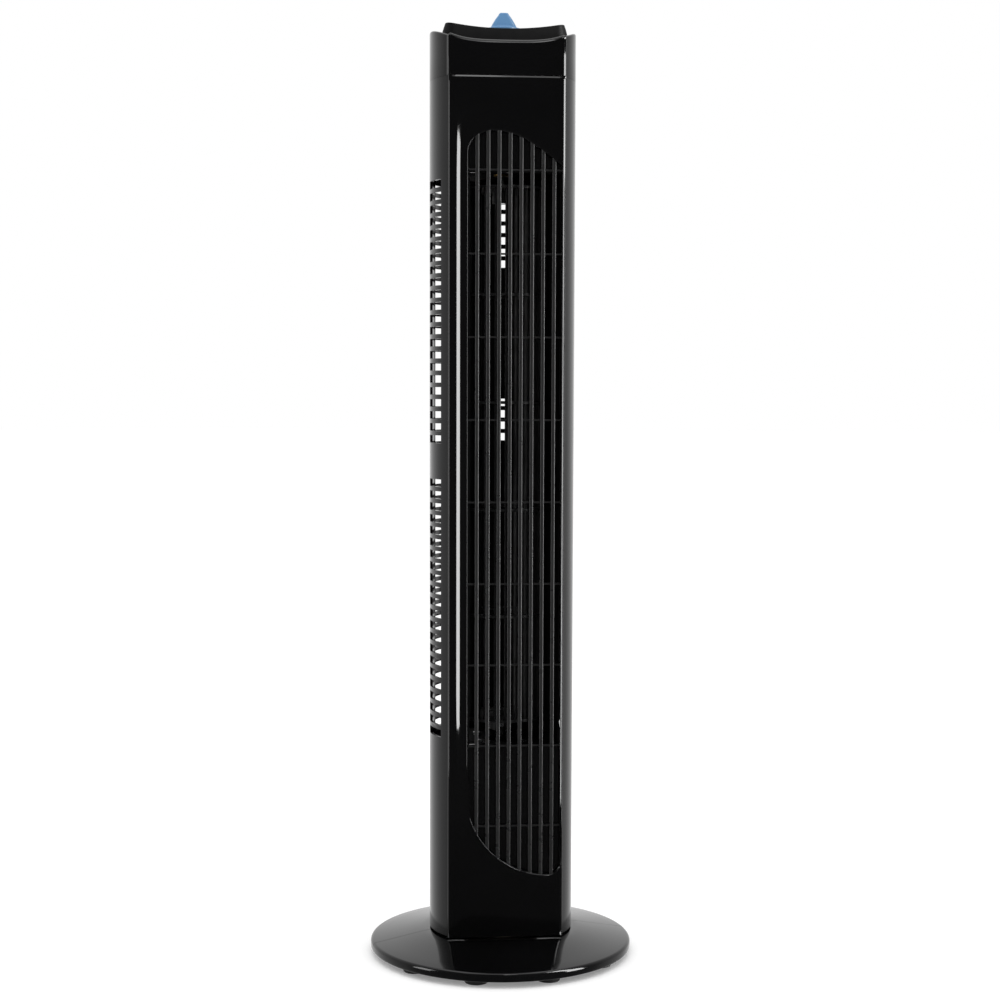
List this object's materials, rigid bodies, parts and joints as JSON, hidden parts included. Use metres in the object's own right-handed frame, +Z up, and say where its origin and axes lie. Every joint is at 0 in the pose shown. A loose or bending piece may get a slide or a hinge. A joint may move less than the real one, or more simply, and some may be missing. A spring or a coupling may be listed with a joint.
{
  "type": "tower fan",
  "caption": "Free-standing oscillating tower fan: tall slim tower with a barred outlet grille and side intake slots, swinging on a low round foot.",
  "frame": {"origin": "on the floor, under the centre of the round foot", "axes": "+Z up along the tower, front of the fan towards -Y, +X to the right seen from the front"},
  "size_m": [0.22, 0.22, 0.7804],
  "materials": {
    "gloss_black": "high gloss injection moulded plastic",
    "satin_black": "satin moulded plastic",
    "inner_black": "plain moulded plastic",
    "rubber": "matt",
    "knob_blue": "glossy coloured plastic",
    "gear_ivory": "natural acetal",
    "steel": "bright zinc plate",
    "bronze": "sintered bronze",
    "lamination": "stacked laminations",
    "bracket": "die cast",
    "copper": "varnished copper wire",
    "switch_dark": "thermoset plastic",
    "capacitor_case": "plastic case",
    "wire_sleeve": "vinyl sleeve"
  },
  "bodies": {
    "foot": {"foot_front_half": "gloss_black", "foot_rear_half": "gloss_black", "rubber_feet": "rubber", "pivot_neck": "inner_black", "neck_screws": "steel", "thrust_washer": "gear_ivory", "fixed_swing_gear": "gear_ivory", "gear_screws": "steel", "cord_gland": "rubber"},
    "tower": {"bottom_plate": "inner_black", "bottom_plate_screws": "steel", "front_housing": "gloss_black", "rear_housing": "gloss_black", "housing_screws": "steel", "front_panel": "gloss_black", "outlet_grille": "satin_black", "motor_deck_plate": "inner_black", "top_deck_plate": "inner_black", "deck_screws": "steel", "scroll_wall": "inner_black", "tongue_wall": "inner_black", "motor_stator": "lamination", "stator_windings": "copper", "motor_lower_bracket": "bracket", "motor_upper_bracket": "bracket", "motor_lower_bushing": "bronze", "motor_upper_bushing": "bronze", "motor_through_bolts": "steel", "motor_grommets": "rubber", "motor_mount_screws": "steel", "top_bearing_rubber": "rubber", "top_bearing_bush": "bronze", "bearing_cap": "steel", "bearing_cap_screws": "steel", "swing_motor": "steel", "swing_motor_screws": "steel", "run_capacitor": "capacitor_case", "capacitor_clip": "steel", "wiring_harness": "wire_sleeve", "top_cap": "gloss_black", "cap_screws": "steel", "control_panel": "gloss_black", "rotary_switch_body": "switch_dark", "switch_nut": "steel", "swing_switch_body": "switch_dark"},
    "rotor": {"motor_shaft": "steel", "rotor_core": "lamination", "shaft_collars": "gear_ivory", "impeller": "satin_black", "impeller_hub": "inner_black", "hub_set_screw": "steel", "impeller_pin": "steel"},
    "pinion": {"swing_pinion": "gear_ivory"},
    "knob": {"switch_spindle": "gear_ivory", "speed_knob": "knob_blue"},
    "button": {"swing_button": "knob_blue"}
  },
  "joints": [
    {"name": "swing", "type": "hinge", "parent": "foot", "child": "tower", "pos_m": [0, 0, 0.0225], "axis": [0, 0, 1], "range_deg": [-35, 35]},
    {"name": "pinion_turn", "type": "hinge", "parent": "tower", "child": "pinion", "pos_m": [0, 0.032, 0.0275], "axis": [0, 0, 1], "range_deg": [-105, 105]},
    {"name": "impeller_spin", "type": "hinge", "parent": "tower", "child": "rotor", "pos_m": [0, 0.003, 0.42], "axis": [0, 0, 1], "continuous": true},
    {"name": "speed_knob_turn", "type": "hinge", "parent": "tower", "child": "knob", "pos_m": [0, 0, 0.765], "axis": [0, 0, 1], "range_deg": [-135, 0]},
    {"name": "swing_button_press", "type": "slide", "parent": "tower", "child": "button", "axis": [0, 0, -1], "range_m": [0, 0.003], "stiffness_N_per_m": 400, "springref_m": -0.0005}
  ],
  "couplings": [
    {"joint": "pinion_turn", "follows": "swing", "ratio": 3}
  ]
}
